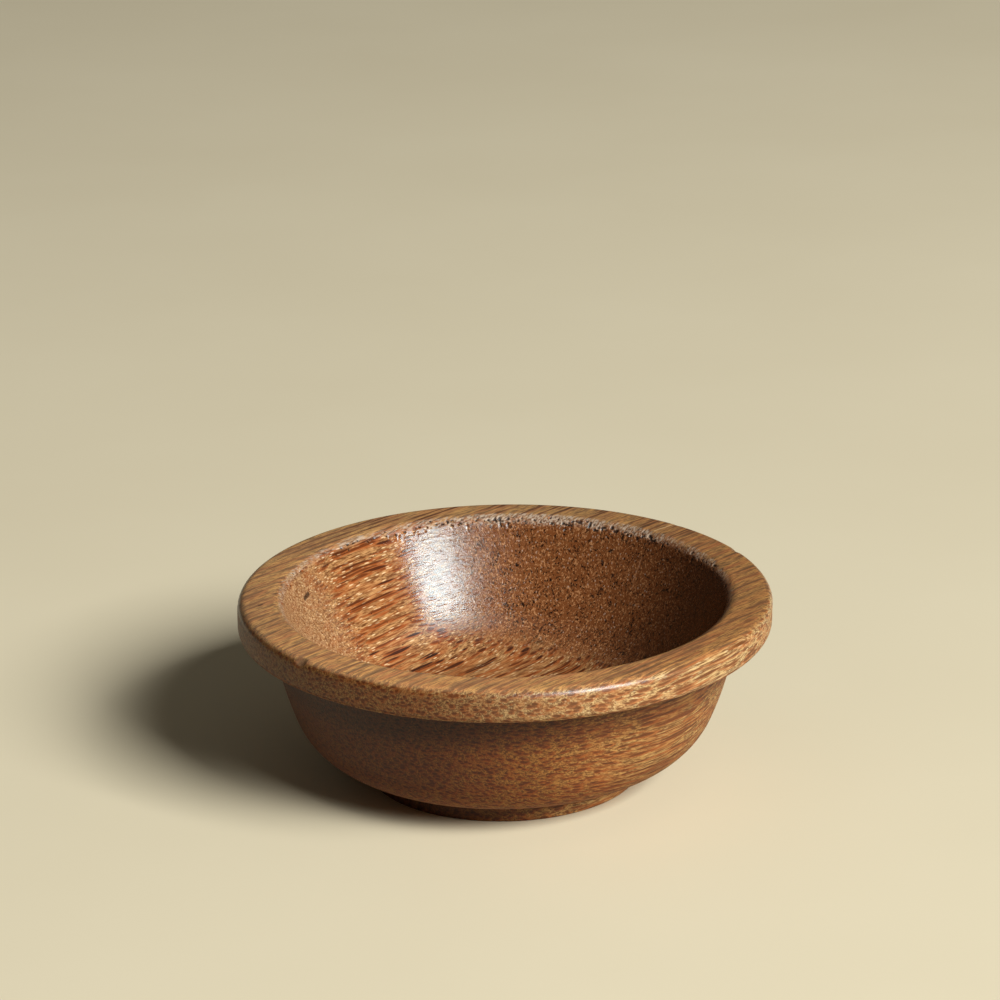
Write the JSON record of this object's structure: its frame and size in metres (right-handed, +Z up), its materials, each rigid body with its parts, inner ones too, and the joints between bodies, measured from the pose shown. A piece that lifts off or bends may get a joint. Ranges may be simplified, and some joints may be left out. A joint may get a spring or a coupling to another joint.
{
  "type": "bowl",
  "caption": "Small round footed bowl turned from coconut palm wood, with a broad flat overhanging rim, a steep-sided hollow with a level floor, and a low foot ring, for serving or holding small things.",
  "frame": {"origin": "centre of the foot, at the level of the table that the bowl stands on", "axes": "+Z up along the axis that the bowl was turned on, +X to the right and +Y away in the pictured view"},
  "size_m": [0.105, 0.105, 0.0374],
  "materials": {
    "coconut_wood": "satin oiled, streaked along the fibres and speckled across them"
  },
  "bodies": {
    "root": {"bowl": "coconut_wood"}
  },
  "joints": []
}
